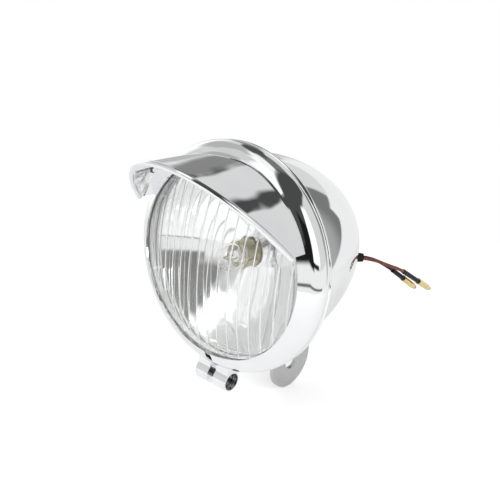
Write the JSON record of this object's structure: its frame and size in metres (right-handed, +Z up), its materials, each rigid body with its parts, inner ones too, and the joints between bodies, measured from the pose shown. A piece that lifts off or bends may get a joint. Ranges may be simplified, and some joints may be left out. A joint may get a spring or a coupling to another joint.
{
  "type": "motorcycle headlight",
  "caption": "Chromed bullet-shaped motorcycle headlight with a visor on its split clamp ring, a fluted glass lens, a bottom bracket tongue with a bolt hole, and short wire tails.",
  "frame": {"origin": "centre of the bolt hole in the bracket tongue, in the middle of the plate", "axes": "+X along the bolt hole, towards the lamp's right as its lens looks at the viewer; the lens looks towards -Y; +Z up, from the bracket to the bucket"},
  "size_m": [0.13, 0.1969, 0.1695],
  "materials": {
    "chrome": "polished",
    "satin_steel": "satin",
    "screw_steel": "satin",
    "lens_glass": "clear",
    "bulb_clear": "clear",
    "reflector_mirror": "polished",
    "passivated": "satin",
    "brass": "polished",
    "solder": "satin",
    "tungsten": "satin",
    "insulator": "matte",
    "pale_rubber": "matte",
    "black_rubber": "matte",
    "brown_pvc": "semi-gloss",
    "black_pvc": "semi-gloss"
  },
  "bodies": {
    "root": {"bucket": "chrome", "trim_ring": "chrome", "visor": "chrome", "clamp_barrel_left": "chrome", "clamp_barrel_right": "chrome", "clamp_screw": "screw_steel", "lens": "lens_glass", "lens_gasket": "pale_rubber", "reflector": "reflector_mirror", "bulb_holder": "passivated", "bulb_cap": "brass", "cap_contact": "solder", "bulb_glass": "bulb_clear", "filament_stem": "bulb_clear", "filament": "tungsten", "filament_supports": "tungsten", "contact_disc": "insulator", "contact_stud": "brass", "mount_bracket": "satin_steel", "bracket_welds": "satin_steel", "wire_grommet": "black_rubber", "wire_brown": "brown_pvc", "wire_black": "black_pvc", "sleeve_brown": "black_pvc", "sleeve_black": "black_pvc", "bullet_brown": "brass", "bullet_black": "brass", "lead_live": "brown_pvc", "lead_earth": "black_pvc"}
  },
  "joints": []
}
